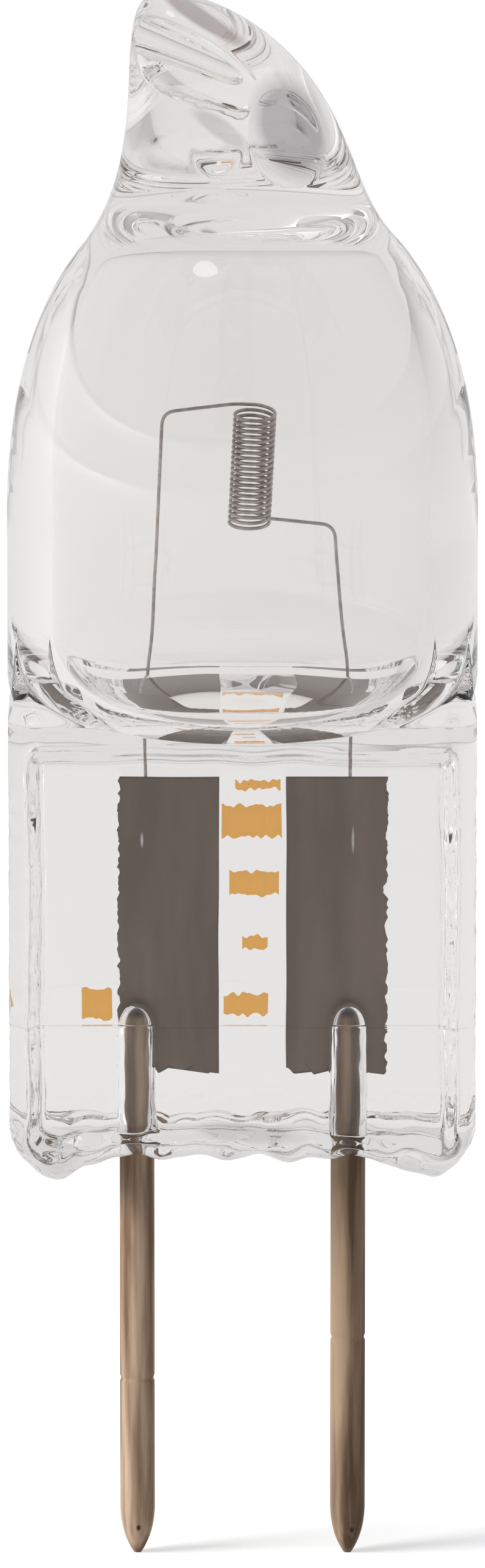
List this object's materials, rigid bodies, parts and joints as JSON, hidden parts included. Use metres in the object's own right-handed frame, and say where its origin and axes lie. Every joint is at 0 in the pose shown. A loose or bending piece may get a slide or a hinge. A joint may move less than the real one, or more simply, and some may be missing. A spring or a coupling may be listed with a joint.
{
  "type": "halogen capsule bulb",
  "caption": "Clear halogen capsule bulb with a flat press seal, straight contact pins, a sealed glass tip and an upright coiled filament.",
  "frame": {"origin": "midway between the pins, where they leave the glass", "axes": "+Z along the bulb towards its sealed tip, X through both pins, front at -Y"},
  "size_m": [0.0088, 0.0088, 0.0303],
  "materials": {
    "quartz_glass": "clear and glossy",
    "tungsten_wire": "drawn wire, dull grey",
    "molybdenum_foil": "dull grey-brown",
    "pin_metal": "brownish tarnish"
  },
  "bodies": {
    "root": {"glass_envelope": "quartz_glass", "filament": "tungsten_wire", "foil_left": "molybdenum_foil", "foil_right": "molybdenum_foil", "pin_left": "pin_metal", "pin_right": "pin_metal"}
  },
  "joints": []
}
